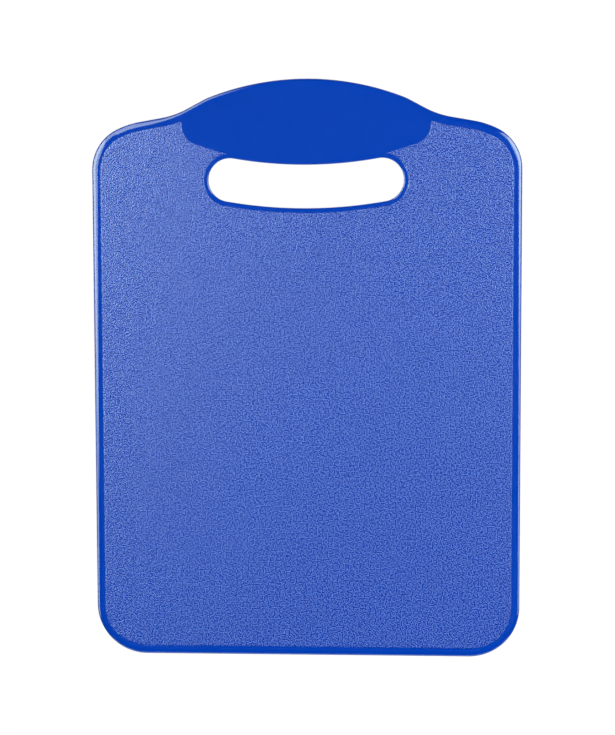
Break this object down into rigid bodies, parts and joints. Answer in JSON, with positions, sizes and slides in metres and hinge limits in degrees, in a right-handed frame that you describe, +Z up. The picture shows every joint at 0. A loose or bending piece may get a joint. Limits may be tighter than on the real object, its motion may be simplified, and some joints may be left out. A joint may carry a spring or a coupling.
{
  "type": "flexible cutting mat",
  "caption": "Thin flexible plastic cutting mat with grained faces, a smooth rounded rim, a bowed top with a smooth grip pad, and a curved hand slot.",
  "frame": {"origin": "middle of the mat's footprint, on the surface that it lies on", "axes": "+Y runs along the mat towards the grip, +X across it to the right, +Z up out of the cutting face"},
  "size_m": [0.245, 0.332, 0.0035],
  "materials": {
    "grained_panel": "fine orange-peel grain, satin",
    "gloss_rim": "smooth gloss"
  },
  "bodies": {
    "root": {"cutting_panel": "grained_panel", "rim_and_grip": "gloss_rim"}
  },
  "joints": []
}
